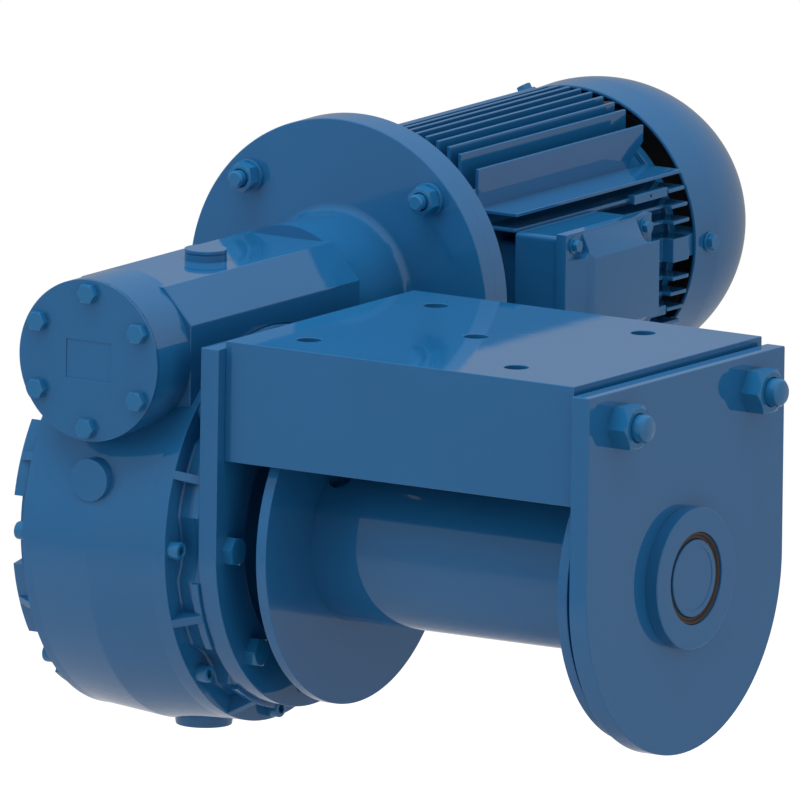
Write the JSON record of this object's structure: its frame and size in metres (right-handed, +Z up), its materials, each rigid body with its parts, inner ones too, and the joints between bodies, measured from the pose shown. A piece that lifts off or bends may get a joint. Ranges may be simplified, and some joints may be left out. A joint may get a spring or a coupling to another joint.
{
  "type": "electric worm-gear winch",
  "caption": "Electric rope winch: flanged drum between two round-footed plates, worm gearbox and finned flange motor, hung from a drilled mounting plate.",
  "frame": {"origin": "middle of the mounting plate, on its top face", "axes": "+Z up, out of the mounting face; +X along the drum towards the bearing plate; +Y along the motor, towards its fan"},
  "size_m": [0.5603, 0.7504, 0.4076],
  "materials": {
    "frame_paint": "glossy blue paint on steel plate",
    "drum_paint": "glossy blue paint on turned steel",
    "gearbox_paint": "glossy blue paint on cast iron",
    "motor_paint": "glossy blue paint on a finned casting",
    "cowl_paint": "glossy blue paint on pressed sheet",
    "terminal_box_paint": "glossy blue paint on die-cast aluminium",
    "fastener_paint": "blue overpaint on steel fasteners",
    "seal_rubber": "dark brown nitrile rubber",
    "bearing_steel": "ground bearing steel",
    "fan_plastic": "black glass-filled nylon",
    "gland_plastic": "black nylon blanking plug"
  },
  "bodies": {
    "winch_frame": {"gear_side_plate": "frame_paint", "bearing_side_plate": "frame_paint", "mounting_plate": "frame_paint", "front_apron": "frame_paint", "rear_apron": "frame_paint", "front_tie_rod": "fastener_paint", "rear_tie_rod": "fastener_paint", "tie_rod_nuts": "fastener_paint", "bearing_boss": "frame_paint", "shaft_bearing": "bearing_steel", "shaft_seal": "seal_rubber", "gear_housing": "gearbox_paint", "inner_cover": "gearbox_paint", "outer_cover": "gearbox_paint", "inner_cover_screws": "fastener_paint", "outer_cover_screws": "fastener_paint", "side_plate_bolts": "fastener_paint", "oil_filler_cap": "gearbox_paint", "worm_end_cover": "gearbox_paint", "worm_cover_bolts": "fastener_paint", "motor_adapter": "gearbox_paint", "motor_flange": "motor_paint", "flange_studs": "fastener_paint", "motor_frame": "motor_paint", "top_fins": "motor_paint", "near_side_fins": "motor_paint", "far_side_fins": "motor_paint", "bottom_fins": "motor_paint", "rear_end_shield": "motor_paint", "fan": "fan_plastic", "fan_cowl": "cowl_paint", "fan_guard": "cowl_paint", "cowl_screws": "fastener_paint", "terminal_box": "terminal_box_paint", "terminal_box_lid": "terminal_box_paint", "lid_screws": "fastener_paint", "cable_gland": "gland_plastic"},
    "drum": {"drum_barrel": "drum_paint", "gear_side_rope_flange": "drum_paint", "bearing_side_rope_flange": "drum_paint", "drum_shaft": "drum_paint"}
  },
  "joints": [
    {"name": "drum_spin", "type": "hinge", "parent": "winch_frame", "child": "drum", "pos_m": [0.013, -0.004, -0.1524], "axis": [1, 0, 0], "continuous": true}
  ]
}
